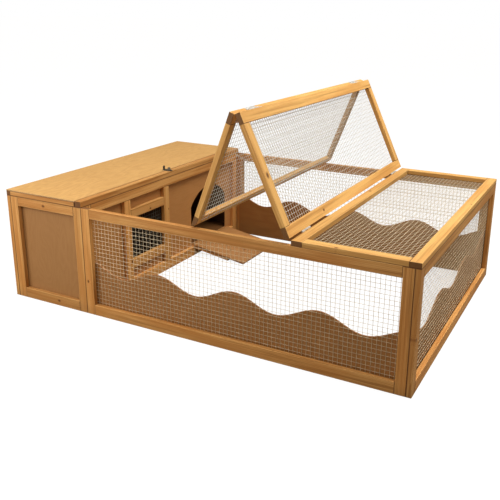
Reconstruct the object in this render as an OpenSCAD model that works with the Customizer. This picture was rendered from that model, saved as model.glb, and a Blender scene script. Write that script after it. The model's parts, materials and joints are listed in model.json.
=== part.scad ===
// Rabbit hutch with a wire run: a boarded sleeping box at the left under a lifting lid, a pop hole with a
// drop-down ramp, and a low mesh run whose roof is one fixed panel and two panels that fold up to a ridge.
// Millimetres. +X along the front from the sleeping box to the run, +Y to the back, +Z up.
// The origin is at the middle of the footprint, on the ground.

/* [Overall] */
// Length of the hutch and run together, without the lid hinges
overall_l = 1350; // [1100:10:1700]
// Depth from front to back
overall_d = 954; // [800:2:1200]
// Height of the walls
wall_h = 345; // [300:5:420]
// Length of the sleeping box, to the face of its inner wall
box_l = 307; // [260:1:380]

/* [Timber] */
// Width of the frame members
member_w = 30; // [24:1:34]
// Thickness of the frame members
member_t = 15; // [12:1:20]
// Height of the bottom rails of the walls
base_rail_h = 34; // [30:1:40]
// Thickness of the wall boards
board_t = 4; // [3:0.5:5]
// Overlap of a board or a mesh sheet on its frame
lap = 13; // [8:1:14]
// Thickness of the lid board
lid_board_t = 3.5; // [3:0.5:6]
// Width of the lid's long rails
lid_rail_w = 15; // [12:1:30]
// Gap between the lid and the fixed strip
lid_gap = 2.4; // [1:0.2:4]
// Width of the fixed strip on top of the inner wall
strip_w = 22; // [19:1:28]

/* [Inner wall] */
// Front edge of the first middle stile, from the front
stile_1_y = 206; // [150:1:230]
// Front edge of the second middle stile, from the front
stile_2_y = 424; // [400:1:440]
// Bottom of the window opening
window_low = 101; // [90:1:110]
// Top of the window opening
window_high = 249; // [220:1:255]
// Front edge of the pop hole, from the front
hole_y = 615; // [560:1:630]
// Width of the pop hole
hole_w = 252; // [220:1:260]
// Bottom of the pop hole
hole_low = 42; // [41:1:46]
// Top of the pop hole's arch
hole_high = 251; // [230:1:262]
// Rise of the pop hole's arch
hole_rise = 63; // [40:1:80]

/* [Run] */
// Length of the fixed roof panel
fixed_l = 341; // [280:1:380]
// Wavelength of the wave boards along the front and back
wave_l = 257.6; // [180:0.2:320]
// First crest of the front and back wave boards, from the left
crest_x = 570; // [500:1:640]
// Height of the wave's middle line
wave_mid = 153; // [120:1:190]
// Height of a crest above the middle line
wave_amp = 20; // [8:1:30]
// Wavelength of the wave board at the end
end_wave_l = 307; // [220:1:360]
// First crest of the end wave board, from the front
end_crest_y = 306; // [260:1:340]
// Spacing of the mesh stand-in's wires
lattice = 52; // [40:1:60]
// Thickness of a mesh sheet, two wires deep
mesh_t = 2; // [1.6:0.1:2.4]

/* [Folding roof] */
// Angle of the roof panel next to the fixed one, from flat
panel_a_angle = 64.8; // [55:0.1:68]
// Angle of the other roof panel, from flat
panel_b_angle = 69; // [58:0.5:72]
// Gap between the roof panels for the hinges
hinge_gap = 5.6; // [5.4:0.1:7]
// Slack under the closed roof
roof_slack = 1.5; // [1:0.1:3]
// How much longer the first roof panel is than the second
panel_extra = 1.7; // [0:0.1:6]
// Length of the bevel under the free edge of the second panel
bevel_l = 14; // [12:0.5:18]
// Height of the bevel under the free edge of the second panel
bevel_h = 9; // [7:0.5:11]
// Gap between the closed roof and the inner wall's strip
roof_gap = 1; // [0.8:0.1:4]

/* [Ramp] */
// Length of the ramp from its hinge
ramp_l = 228; // [215:1:240]
// Cover of the ramp past each side of the pop hole
ramp_cover = 4; // [2:1:10]
// Thickness of the ramp board
ramp_t = 6; // [5:0.5:7]
// Thickness of the battens under the ramp
batten_t = 8.5; // [6:0.5:9]
// Width of the battens
batten_w = 20; // [14:1:26]
// Setback of the battens' ends from where they would meet the ground
batten_back = 16; // [6:1:40]
// Length of the finger groove across the ramp
groove_l = 60; // [40:1:80]
// Width of the finger groove
groove_w = 7; // [5:0.5:10]
// Depth of the finger groove
groove_depth = 3; // [1:0.5:4]
// Distance of the finger groove from the ramp's free edge
groove_back = 56; // [30:1:80]

/* [Floor] */
// Thickness of the raised floor
floor_t = 5; // [4:0.5:9]
// Height of the bearers under the floor
bearer_h = 20; // [16:1:24]

/* [Hardware] */
// Length of a hinge
hinge_l = 52; // [40:1:65]
// Radius of a hinge's barrel
barrel_r = 2.5; // [2.3:0.1:2.6]
// Radius of a hinge's pin
pin_r = 1.1; // [0.9:0.1:1.3]
// Width of a hinge leaf from its axis
leaf_w = 13; // [10:0.5:13.5]
// Thickness of a hinge leaf
leaf_t = 1.2; // [0.8:0.1:1.4]
// Distance of the hinges' middles from the front and the back
hinge_inset = 100; // [80:1:160]
// Radius of a screw head
head_r = 3.6; // [2.5:0.1:4]
// Radius of a screw's shank
shank_r = 1.8; // [1.2:0.1:2]
// Length of the assembly screws
screw_l = 45; // [40:1:50]
// Length of the cabin hook from its pivot to its point
hook_l = 56; // [40:1:70]
// Slope of the cabin hook as it lies
hook_slope = 18; // [5:1:25]
// Radius of the cabin hook's wire
hook_r = 1.2; // [1:0.1:1.5]

/* [Hidden] */
$fn = 48;
eps = 0.01;
turn_gap = 0.4;
pin_clear = 0.05;
top_z = wall_h + member_t;
// Overlap of the boards and sheets, kept clear of the neighbouring wall's thickness
seam = min(lap, member_w - member_t - 2);
// Lid hinge line, outside the left wall at the joint between wall and lid
lid_axis_x = -hinge_gap / 2;
lid_axis_z = wall_h;
lid_top_z = top_z + lid_board_t;
lid_l = box_l - strip_w - lid_gap;
origin_x = (overall_l + lid_axis_x - barrel_r) / 2;
origin_y = overall_d / 2;
// Walls
inner_x = box_l - member_t;
inner_y0 = member_t;
inner_y1 = overall_d - member_t;
inner_board_x = inner_x - board_t;
inner_board_y0 = member_t + board_t;
inner_board_y1 = overall_d - member_t - board_t;
stile_1_mid = stile_1_y + member_w / 2;
stile_2_mid = stile_2_y + member_w / 2;
floor_z = hole_low - floor_t - 1;
run_x = box_l;
run_end = overall_l - member_t;
fixed_x = overall_l - fixed_l;
lid_low_board = lid_top_z - lid_board_t;
// Folding roof: the first hinge line is level with the closed panels' tops, the ridge with their undersides
roof_axis_x = fixed_x - hinge_gap / 2;
roof_low = wall_h + roof_slack;
roof_top = roof_low + member_t;
fold_span = roof_axis_x - box_l - roof_gap;
fold_a = (fold_span + panel_extra) / 2;
fold_b = fold_span - fold_a;
ridge_x = roof_axis_x - fold_a;
panel_a_x = ridge_x + hinge_gap / 2;
panel_b_end = ridge_x - hinge_gap / 2;
panel_b_x = ridge_x - fold_b;
// Ramp, drawn standing shut in the inner wall and then let down to the ground
ramp_axis_x = box_l - 8;
ramp_plate_t = 1;
ramp_barrel = 2.2;
ramp_axis_z = base_rail_h + ramp_plate_t + ramp_barrel + turn_gap;
ramp_inner = -turn_gap - ramp_t;
ramp_drop = 90 + asin((ramp_axis_z + turn_gap) / ramp_l);
ramp_y = hole_y - ramp_cover;
ramp_w = hole_w + 2 * ramp_cover;
groove_y = ramp_y + ramp_w / 2;
batten_start = 11.5;
ramp_slope = ramp_drop - 90;
batten_end = (ramp_axis_z - (batten_t - turn_gap) * cos(ramp_slope)) / sin(ramp_slope) - batten_back;
ramp_hinge_l = 38;
ramp_leaf_w = 24;
ramp_hinge_ys = [ramp_y + 45, ramp_y + ramp_w - 45 - ramp_hinge_l];
// Hasp on the lid's free edge
hasp_y = overall_d / 2 - 2;
hasp_x = box_l - strip_w / 2;
hasp_plate_t = 1.2;
strip_top = lid_top_z - 0.4;
knob_neck_r = 1.8;
hasp_w = 20;
tab_w = 12;
tab_h = 16;
strap_slot_l = 18;
strap_slot_w = 5.6;
knob_l = 11;
knob_t = 3;
bush_r = 4.5;
bush_h = 6;
neck_depth = 5;
// Cabin hook in the back corner of the run
hook_x = box_l + 6;
hook_z = wall_h - 8;
hook_reach = 9;
hook_y = overall_d - member_t - hook_reach;
eye_wire = 1.3;
hook_drop = 9;
ring_r = 4;
hinge_ys = [hinge_inset - hinge_l / 2, overall_d - hinge_inset - hinge_l / 2];
pine = "burlywood";
ply = "peru";
steel = "silver";

// ---- Shapes that repeat ----

// A block from one corner to the opposite one
module block(low, high) {
  translate(low) cube(high - low);
}

// The two upright members of a wall that runs along X, with its outer face at y
module stiles_along_x(x0, x1, y) {
  for (x = [x0, x1 - member_w])
    block([x, y, 0], [x + member_w, y + member_t, wall_h]);
}

// The top and bottom rails of a wall that runs along X
module rails_along_x(x0, x1, y) {
  for (span = [[0, base_rail_h], [wall_h - member_w, wall_h]])
    block([x0 + member_w, y, span[0]], [x1 - member_w, y + member_t, span[1]]);
}

// The two upright members of a wall that runs along Y, with its near face at x
module stiles_along_y(x, y0, y1) {
  for (y = [y0, y1 - member_w])
    block([x, y, 0], [x + member_t, y + member_w, wall_h]);
}

// The top and bottom rails of a wall that runs along Y
module rails_along_y(x, y0, y1) {
  for (span = [[0, base_rail_h], [wall_h - member_w, wall_h]])
    block([x, y0 + member_w, span[0]], [x + member_t, y1 - member_w, span[1]]);
}

// The two long rails of a roof panel, over the whole depth
module long_rails(x0, x1, z) {
  for (x = [x0, x1 - member_w])
    block([x, 0, z], [x + member_w, overall_d, z + member_t]);
}

// The front and back rails of a roof panel, between its long rails
module cross_rails(x0, x1, z) {
  for (y = [0, overall_d - member_w])
    block([x0 + member_w, y, z], [x1 - member_w, y + member_w, z + member_t]);
}

// Flat lattice of wires over a length and a height, on the ground plane
module lattice_sheet(length, height) {
  wire = mesh_t;
  columns = round((length - wire) / lattice);
  rows = round((height - wire) / lattice);
  linear_extrude(mesh_t)
    union() {
      for (i = [0:columns])
        translate([i * (length - wire) / columns, 0]) square([wire, height]);
      for (j = [0:rows])
        translate([0, j * (height - wire) / rows]) square([length, wire]);
    }
}

// Turns a flat outline in X and Y into an upright plate along X, its near face at y
module upright_x(y, thick) {
  translate([0, y + thick, 0]) rotate([90, 0, 0]) linear_extrude(thick) children();
}

// Turns a flat outline in X and Y into an upright plate along Y, its near face at x
module upright_y(x, thick) {
  translate([x, 0, 0]) rotate([90, 0, 90]) linear_extrude(thick) children();
}

// Outline of a wave board from one end to the other, its top edge a cosine with a crest at the given place
module wave_outline(from, to, crest, wavelength) {
  steps = ceil((to - from) / wavelength * 16);
  step = (to - from) / steps;
  top = [for (i = [0:steps]) [from + i * step,
    wave_mid + wave_amp * cos(360 * (from + i * step - crest) / wavelength)]];
  polygon(concat([[to, 2], [from, 2]], top));
}

// One leaf of a butt hinge: its axis is along +Y from the origin, its plate hangs down on a face at +X
module hinge_leaf(length, outer) {
  third = length / 3;
  face = hinge_gap / 2;
  spans = outer ? [[0, third - turn_gap / 2], [2 * third + turn_gap / 2, length]]
    : [[third + turn_gap / 2, 2 * third - turn_gap / 2]];
  difference() {
    union() {
      block([face - leaf_t, 0, -leaf_w], [face, length, -barrel_r - turn_gap]);
      for (span = spans) {
        block([face - leaf_t, span[0], -barrel_r - turn_gap - eps], [face, span[1], 0]);
        translate([0, span[0], 0]) rotate([-90, 0, 0]) cylinder(r = barrel_r, h = span[1] - span[0]);
      }
    }
    translate([0, -1, 0]) rotate([-90, 0, 0]) cylinder(r = pin_r + pin_clear, h = length + 2);
  }
}

// Pin of a hinge along +Y, with a small head at each end
module hinge_pin(length, radius) {
  head = radius + 0.5;
  rotate([-90, 0, 0]) cylinder(r = radius, h = length);
  translate([0, -1, 0]) rotate([-90, 0, 0]) cylinder(r = head, h = 1 - pin_clear);
  translate([0, length + pin_clear, 0]) rotate([-90, 0, 0]) cylinder(r = head, h = 1 - pin_clear);
  translate([0, -pin_clear - eps, 0]) rotate([-90, 0, 0])
    cylinder(r = radius, h = length + 2 * pin_clear + 2 * eps);
}

// Screw whose flat head ends flush with the plane at z = 0, its shank along -Z
module wood_screw(length, radius) {
  translate([0, 0, -1.6]) cylinder(r = radius, h = 1.6);
  translate([0, 0, -length]) cylinder(r = shank_r, h = length);
}

// Moves a roof panel's closed shape to where it stands: the first panel about its hinge on the fixed panel
module panel_a_place() {
  translate([roof_axis_x, 0, roof_top]) rotate([0, panel_a_angle, 0]) translate([-roof_axis_x, 0, -roof_top])
    children();
}

// The second panel about the ridge, and then with the first
module panel_b_place() {
  panel_a_place()
    translate([ridge_x, 0, roof_low]) rotate([0, -panel_a_angle - panel_b_angle, 0])
      translate([-ridge_x, 0, -roof_low]) children();
}

// Moves the ramp from shut to let down
module ramp_place() {
  translate([ramp_axis_x, 0, ramp_axis_z]) rotate([0, ramp_drop, 0]) children();
}

// Moves the cabin hook's own frame, pivot at the origin and rod along +X, to its corner
module hook_place() {
  translate([hook_x, hook_y, hook_z]) rotate([0, hook_slope, 0]) children();
}

// Shifts the model from its front left corner to the middle of the footprint
module placed() {
  translate([-origin_x, -origin_y, 0]) children();
}

// ---- Sleeping box ----

module left_wall_stiles() {
  color(pine) placed() stiles_along_y(0, 0, overall_d);
}

module left_wall_rails() {
  color(pine) placed() rails_along_y(0, 0, overall_d);
}

module left_wall_board() {
  edge = member_t + board_t;
  color(ply) placed() block([member_t, edge, 2], [edge, overall_d - edge, wall_h]);
}

module box_front_stiles() {
  color(pine) placed() stiles_along_x(member_t, box_l, 0);
}

module box_front_rails() {
  color(pine) placed() rails_along_x(member_t, box_l, 0);
}

module box_front_board() {
  color(ply) placed() block([member_t, member_t, 2], [inner_x, member_t + board_t, wall_h]);
}

module box_back_stiles() {
  color(pine) placed() stiles_along_x(member_t, box_l, overall_d - member_t);
}

module box_back_rails() {
  color(pine) placed() rails_along_x(member_t, box_l, overall_d - member_t);
}

module box_back_board() {
  color(ply) placed()
    block([member_t, overall_d - member_t - board_t, 2], [inner_x, overall_d - member_t, wall_h]);
}

module inner_wall_stiles() {
  color(pine) placed() {
    stiles_along_y(inner_x, inner_y0, inner_y1);
    for (y = [stile_1_y, stile_2_y])
      block([inner_x, y, base_rail_h], [box_l, y + member_w, wall_h - member_w]);
  }
}

module inner_wall_rails() {
  color(pine) placed() {
    rails_along_y(inner_x, inner_y0, inner_y1);
    for (z = [window_low - member_w, window_high])
      block([inner_x, stile_1_y + member_w, z], [box_l, stile_2_y, z + member_w]);
  }
}

module inner_wall_front_board() {
  color(ply) placed() block([inner_board_x, inner_board_y0, 2], [inner_x, stile_1_mid, wall_h]);
}

module inner_wall_window_boards() {
  color(ply) placed()
    for (span = [[2, window_low - member_w / 2], [window_high + member_w / 2, wall_h]])
      block([inner_board_x, stile_1_mid, span[0]], [inner_x, stile_2_mid, span[1]]);
}

module inner_wall_window_mesh() {
  low = window_low - seam;
  high = window_high + seam;
  from = stile_1_y + member_w - seam;
  to = stile_2_y + seam;
  color(steel) placed()
    translate([inner_x - mesh_t, from, low]) rotate([90, 0, 90]) lattice_sheet(to - from, high - low);
}

// Pop hole: straight sides and a low arch through three points
module pop_hole_outline() {
  arch_r = (hole_w * hole_w / 4 + hole_rise * hole_rise) / (2 * hole_rise);
  intersection() {
    translate([hole_y, hole_low]) square([hole_w, hole_high - hole_low]);
    translate([hole_y + hole_w / 2, hole_high - arch_r]) circle(r = arch_r, $fn = 120);
  }
}

module inner_wall_pop_hole_board() {
  color(ply) placed() upright_y(inner_board_x, board_t)
    difference() {
      translate([stile_2_mid, 2]) square([inner_board_y1 - stile_2_mid, wall_h - 2]);
      pop_hole_outline();
    }
}

module inner_wall_top_strip() {
  color(pine) placed()
    difference() {
      block([box_l - strip_w, 0, wall_h], [box_l, overall_d, strip_top]);
      translate([hasp_x, hasp_y, strip_top - bush_h]) cylinder(r = bush_r, h = bush_h + 1);
    }
}

module box_floor() {
  edge = member_t + board_t + 1;
  color(ply) placed()
    block([edge, edge, floor_z], [inner_board_x - 1, overall_d - edge, floor_z + floor_t]);
}

module floor_bearers() {
  edge = member_t + board_t + 1;
  count = 4;
  pitch = (overall_d - 2 * edge - bearer_h) / (count - 1);
  color(pine) placed()
    for (i = [0:count - 1])
      translate([0, edge + i * pitch, 0])
        block([edge, 0, floor_z - bearer_h], [inner_board_x - 1, bearer_h, floor_z]);
}

// ---- Run walls ----

module run_front_stiles() {
  color(pine) placed() stiles_along_x(run_x, run_end, 0);
}

module run_front_rails() {
  color(pine) placed() rails_along_x(run_x, run_end, 0);
}

module run_front_mesh() {
  from = run_x + member_w - seam;
  to = run_end - member_w + seam;
  low = base_rail_h - seam;
  color(steel) placed()
    translate([from, member_t + mesh_t, low]) rotate([90, 0, 0])
      lattice_sheet(to - from, wall_h - member_w + seam - low);
}

module run_front_wave_board() {
  color(ply) placed() upright_x(member_t + mesh_t, board_t)
    wave_outline(run_x + member_w - seam, run_end - member_w + seam, crest_x, wave_l);
}

module run_back_stiles() {
  color(pine) placed() stiles_along_x(run_x, run_end, overall_d - member_t);
}

module run_back_rails() {
  color(pine) placed() rails_along_x(run_x, run_end, overall_d - member_t);
}

module run_back_mesh() {
  from = run_x + member_w - seam;
  to = run_end - member_w + seam;
  low = base_rail_h - seam;
  color(steel) placed()
    translate([from, overall_d - member_t, low]) rotate([90, 0, 0])
      lattice_sheet(to - from, wall_h - member_w + seam - low);
}

module run_back_wave_board() {
  color(ply) placed() upright_x(overall_d - member_t - mesh_t - board_t, board_t)
    wave_outline(run_x + member_w - seam, run_end - member_w + seam, crest_x, wave_l);
}

module run_end_stiles() {
  color(pine) placed() stiles_along_y(run_end, 0, overall_d);
}

module run_end_rails() {
  color(pine) placed() rails_along_y(run_end, 0, overall_d);
}

module run_end_mesh() {
  from = member_w - seam;
  low = base_rail_h - seam;
  color(steel) placed()
    translate([run_end - mesh_t, from, low]) rotate([90, 0, 90])
      lattice_sheet(overall_d - 2 * from, wall_h - member_w + seam - low);
}

module run_end_wave_board() {
  edge = member_t + mesh_t + board_t;
  color(ply) placed() upright_y(run_end - mesh_t - board_t, board_t)
    wave_outline(edge, overall_d - edge, end_crest_y, end_wave_l);
}

// ---- Roof ----

module roof_mesh(x0, x1, z) {
  from = member_w - seam;
  translate([x0 + from, from, z - mesh_t]) lattice_sheet(x1 - x0 - 2 * from, overall_d - 2 * from);
}

module fixed_roof_long_rails() {
  color(pine) placed() long_rails(fixed_x, overall_l, wall_h);
}

module fixed_roof_cross_rails() {
  color(pine) placed() cross_rails(fixed_x, overall_l, wall_h);
}

module fixed_roof_mesh() {
  color(steel) placed() roof_mesh(fixed_x, overall_l - member_t, wall_h);
}

module roof_a_long_rails() {
  color(pine) placed() panel_a_place() long_rails(panel_a_x, roof_axis_x - hinge_gap / 2, roof_low);
}

module roof_a_cross_rails() {
  color(pine) placed() panel_a_place() cross_rails(panel_a_x, roof_axis_x - hinge_gap / 2, roof_low);
}

module roof_a_mesh() {
  color(steel) placed() panel_a_place() roof_mesh(panel_a_x, roof_axis_x - hinge_gap / 2, roof_low);
}

module roof_b_long_rails() {
  color(pine) placed() panel_b_place()
    difference() {
      long_rails(panel_b_x, panel_b_end, roof_low);
      translate([panel_b_x, -1, roof_low]) rotate([-90, 0, 0]) linear_extrude(overall_d + 2)
        polygon([[-1, 1], [bevel_l + bevel_l / bevel_h, 1], [-1, -bevel_h - bevel_h / bevel_l]]);
    }
}

module roof_b_cross_rails() {
  color(pine) placed() panel_b_place() cross_rails(panel_b_x, panel_b_end, roof_low);
}

module roof_b_mesh() {
  color(steel) placed() panel_b_place() roof_mesh(panel_b_x, panel_b_end, roof_low);
}

module lid_board() {
  color("tan") placed() block([0, 0, lid_low_board], [lid_l, overall_d, lid_top_z]);
}

module lid_long_rails() {
  color(pine) placed() {
    block([0, 0, wall_h], [lid_rail_w, overall_d, top_z]);
    block([lid_l - lid_rail_w, member_w, wall_h], [lid_l, overall_d - member_w, top_z]);
  }
}

module lid_cross_rails() {
  color(pine) placed() {
    for (y = [0, overall_d - member_w])
      block([lid_rail_w, y, wall_h], [lid_l, y + member_w, top_z]);
    block([lid_rail_w, (overall_d - member_w) / 2, wall_h],
      [lid_l - lid_rail_w, (overall_d + member_w) / 2, top_z]);
  }
}

// ---- Ramp, in its own frame: hinge line at the origin, board standing along +Z ----

module ramp_board() {
  color(ply) placed() ramp_place()
    difference() {
      block([ramp_inner, ramp_y, ramp_barrel + turn_gap], [-turn_gap, ramp_y + ramp_w, ramp_l]);
      for (side = [-1, 1])
        translate([ramp_inner - 1, groove_y + side * (groove_l - groove_w) / 2, ramp_l - groove_back])
          rotate([0, 90, 0]) cylinder(d = groove_w, h = groove_depth + 1);
      translate([ramp_inner, groove_y, ramp_l - groove_back])
        block([-1, -(groove_l - groove_w) / 2, -groove_w / 2],
          [groove_depth, (groove_l - groove_w) / 2, groove_w / 2]);
    }
}

module ramp_battens() {
  color(pine) placed() ramp_place()
    for (y = [ramp_y, ramp_y + ramp_w - batten_w])
      block([-turn_gap, y, batten_start], [batten_t - turn_gap, y + batten_w, batten_end]);
}

// ---- Hinges ----

module lid_hinge_wall_leaves() {
  color(steel) placed()
    for (y = hinge_ys)
      translate([lid_axis_x, y, lid_axis_z]) hinge_leaf(hinge_l, true);
}

module lid_hinge_lid_leaves() {
  color(steel) placed()
    for (y = hinge_ys)
      translate([lid_axis_x, y, lid_axis_z]) mirror([0, 0, 1]) hinge_leaf(hinge_l, false);
}

module roof_hinge_fixed_leaves() {
  color(steel) placed()
    for (y = hinge_ys)
      translate([roof_axis_x, y, roof_top]) hinge_leaf(hinge_l, true);
}

module roof_a_hinge_leaves() {
  color(steel) placed() panel_a_place()
    for (y = hinge_ys) {
      translate([roof_axis_x, y, roof_top]) mirror([1, 0, 0]) hinge_leaf(hinge_l, false);
      translate([ridge_x, y, roof_low]) mirror([0, 0, 1]) hinge_leaf(hinge_l, true);
    }
}

module roof_b_hinge_leaves() {
  color(steel) placed() panel_b_place()
    for (y = hinge_ys)
      translate([ridge_x, y, roof_low]) mirror([0, 0, 1]) mirror([1, 0, 0]) hinge_leaf(hinge_l, false);
}

// The ramp's leaves differ: one lies on the bottom rail, the other on the board's outer face
module ramp_knuckle(from, to) {
  translate([0, from, 0]) rotate([-90, 0, 0]) cylinder(r = ramp_barrel, h = to - from);
}

module ramp_pin_bore() {
  translate([0, -1, 0]) rotate([-90, 0, 0]) cylinder(r = pin_r + pin_clear, h = ramp_hinge_l + 2);
}

module ramp_hinge_sill_leaves() {
  third = ramp_hinge_l / 3;
  sill = base_rail_h - ramp_axis_z;
  color(steel) placed()
    for (y = ramp_hinge_ys)
      translate([ramp_axis_x, y, ramp_axis_z])
        difference() {
          union() {
            block([-6.5, 0, sill], [7.5, ramp_hinge_l, sill + ramp_plate_t]);
            for (span = [[0, third - turn_gap / 2], [2 * third + turn_gap / 2, ramp_hinge_l]]) {
              ramp_knuckle(span[0], span[1]);
              block([-1, span[0], sill + ramp_plate_t - eps], [1, span[1], 0]);
            }
          }
          ramp_pin_bore();
        }
}

module ramp_hinge_ramp_leaves() {
  third = ramp_hinge_l / 3;
  web = [third + turn_gap / 2, 2 * third - turn_gap / 2];
  face = ramp_plate_t - turn_gap;
  color(steel) placed() ramp_place()
    for (y = ramp_hinge_ys)
      translate([0, y, 0])
        difference() {
          union() {
            block([-turn_gap, 0, ramp_barrel + turn_gap], [face, ramp_hinge_l, ramp_leaf_w]);
            block([-turn_gap, web[0], 0], [face, web[1], ramp_barrel + turn_gap + eps]);
            ramp_knuckle(web[0], web[1]);
          }
          ramp_pin_bore();
        }
}

module fixed_hinge_pins() {
  color(steel) placed() {
    for (y = hinge_ys) {
      translate([lid_axis_x, y, lid_axis_z]) hinge_pin(hinge_l, pin_r);
      translate([roof_axis_x, y, roof_top]) hinge_pin(hinge_l, pin_r);
    }
    for (y = ramp_hinge_ys)
      translate([ramp_axis_x, y, ramp_axis_z]) hinge_pin(ramp_hinge_l, pin_r);
  }
}

module ridge_hinge_pins() {
  color(steel) placed() panel_a_place()
    for (y = hinge_ys)
      translate([ridge_x, y, roof_low]) hinge_pin(hinge_l, pin_r);
}

// ---- Hasp: a strap on the lid whose slot drops over a turning knob on the fixed strip ----

module hasp_base() {
  color("dimgray") placed()
    difference() {
      translate([hasp_x, hasp_y, strip_top - bush_h]) cylinder(r = bush_r, h = bush_h);
      translate([hasp_x, hasp_y, strip_top - neck_depth]) cylinder(r = knob_neck_r + pin_clear, h = bush_h);
    }
}

module hasp_strap() {
  left = lid_l - 9.5;
  right = hasp_x + strap_slot_l / 2 + 3.5;
  half = hasp_w / 2;
  color("dimgray") placed() {
    difference() {
      translate([0, hasp_y, lid_top_z]) linear_extrude(hasp_plate_t)
        polygon([[left, -half], [hasp_x + 4, -half], [right, -4.5], [right, 4.5],
          [hasp_x + 4, half], [left, half]]);
      block([hasp_x - strap_slot_l / 2, hasp_y - strap_slot_w / 2, lid_top_z - 1],
        [hasp_x + strap_slot_l / 2, hasp_y + strap_slot_w / 2, lid_top_z + 2]);
    }
    translate([left, hasp_y, lid_top_z]) rotate([90, 0, 90]) linear_extrude(hasp_plate_t)
      union() {
        translate([-tab_w / 2, 0]) square([tab_w, tab_h - tab_w / 2]);
        translate([0, tab_h - tab_w / 2]) circle(r = tab_w / 2);
      }
  }
}

module hasp_knob() {
  blade_z = lid_top_z + hasp_plate_t + turn_gap;
  color("dimgray") placed() {
    translate([hasp_x, hasp_y, strip_top - neck_depth + pin_clear])
      cylinder(r = knob_neck_r, h = blade_z - strip_top + neck_depth);
    translate([hasp_x, hasp_y + knob_t / 2, blade_z]) rotate([90, 0, 0]) linear_extrude(knob_t)
      union() {
        translate([-knob_l / 2, 0]) square([knob_l, 5]);
        translate([0, 5]) circle(r = knob_l / 2);
      }
  }
}

// ---- Cabin hook, in its own frame: pivot at the origin, rod along +X ----

module cabin_hook() {
  color(steel) placed() hook_place() {
    rotate([90, 0, 0]) rotate_extrude() translate([ring_r - hook_r, 0]) circle(r = hook_r, $fn = 16);
    translate([ring_r - hook_r, 0, 0]) rotate([0, 90, 0])
      cylinder(r = hook_r, h = hook_l - ring_r + 2 * hook_r, $fn = 16);
    translate([hook_l, 0, -hook_drop]) cylinder(r = hook_r, h = hook_drop, $fn = 16);
  }
}

module cabin_hook_eyes() {
  pivot_pin = ring_r - 2 * hook_r - turn_gap;
  side = hook_r + turn_gap;
  color(steel) placed() {
    hook_place() {
      translate([0, -side, 0]) rotate([-90, 0, 0]) cylinder(r = pivot_pin, h = side + hook_reach, $fn = 24);
      translate([0, -side - 1, 0]) rotate([-90, 0, 0]) cylinder(r = pivot_pin + 1.4, h = 1, $fn = 24);
      translate([hook_l, 0, -side - eye_wire])
        rotate_extrude() translate([ring_r, 0]) circle(r = eye_wire, $fn = 16);
      translate([hook_l, ring_r, -side - eye_wire]) rotate([-90, 0, 0])
        cylinder(r = eye_wire, h = hook_reach - ring_r, $fn = 16);
    }
  }
}

// ---- Fasteners ----

// Screws through the stiles' edges into the rails of the left wall and the run's end
module assembly_screws() {
  heights = [base_rail_h / 2, wall_h - member_w / 2];
  color(steel) placed() {
    for (x = [member_t / 2, overall_l - member_t / 2])
      for (z = heights) {
        translate([x, 0, z]) rotate([90, 0, 0]) wood_screw(screw_l, head_r);
        translate([x, overall_d, z]) rotate([-90, 0, 0]) wood_screw(screw_l, head_r);
      }
    for (y = [member_t / 2, overall_d - member_t / 2])
      for (x = [fixed_x + member_w / 2, overall_l - member_w / 2])
        translate([x, y, top_z]) wood_screw(screw_l - 8, head_r);
  }
}

// Bolts through the run's first stiles into the box's corner stiles
module panel_bolts() {
  color("dimgray") placed()
    for (y = [member_t / 2, overall_d - member_t / 2])
      for (z = [wall_h / 4, wall_h * 0.77])
        translate([run_x + member_w, y, z]) rotate([0, 90, 0]) wood_screw(screw_l + 4, head_r);
}

left_wall_stiles();
left_wall_rails();
left_wall_board();
box_front_stiles();
box_front_rails();
box_front_board();
box_back_stiles();
box_back_rails();
box_back_board();
inner_wall_stiles();
inner_wall_rails();
inner_wall_front_board();
inner_wall_window_boards();
inner_wall_window_mesh();
inner_wall_pop_hole_board();
inner_wall_top_strip();
box_floor();
floor_bearers();
run_front_stiles();
run_front_rails();
run_front_wave_board();
run_front_mesh();
run_back_stiles();
run_back_rails();
run_back_wave_board();
run_back_mesh();
run_end_stiles();
run_end_rails();
run_end_wave_board();
run_end_mesh();
fixed_roof_long_rails();
fixed_roof_cross_rails();
fixed_roof_mesh();
roof_a_long_rails();
roof_a_cross_rails();
roof_a_mesh();
roof_b_long_rails();
roof_b_cross_rails();
roof_b_mesh();
lid_board();
lid_long_rails();
lid_cross_rails();
ramp_board();
ramp_battens();
lid_hinge_wall_leaves();
lid_hinge_lid_leaves();
roof_hinge_fixed_leaves();
roof_a_hinge_leaves();
roof_b_hinge_leaves();
ramp_hinge_sill_leaves();
ramp_hinge_ramp_leaves();
fixed_hinge_pins();
ridge_hinge_pins();
hasp_base();
hasp_strap();
hasp_knob();
cabin_hook();
cabin_hook_eyes();
assembly_screws();
panel_bolts();
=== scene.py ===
"""Looks of the rabbit hutch: stained pine frames, plywood boards, welded wire mesh and steel fittings."""

import json
import math
import random

import bmesh
import bpy
from mathutils import Euler, Matrix, Vector


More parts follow.
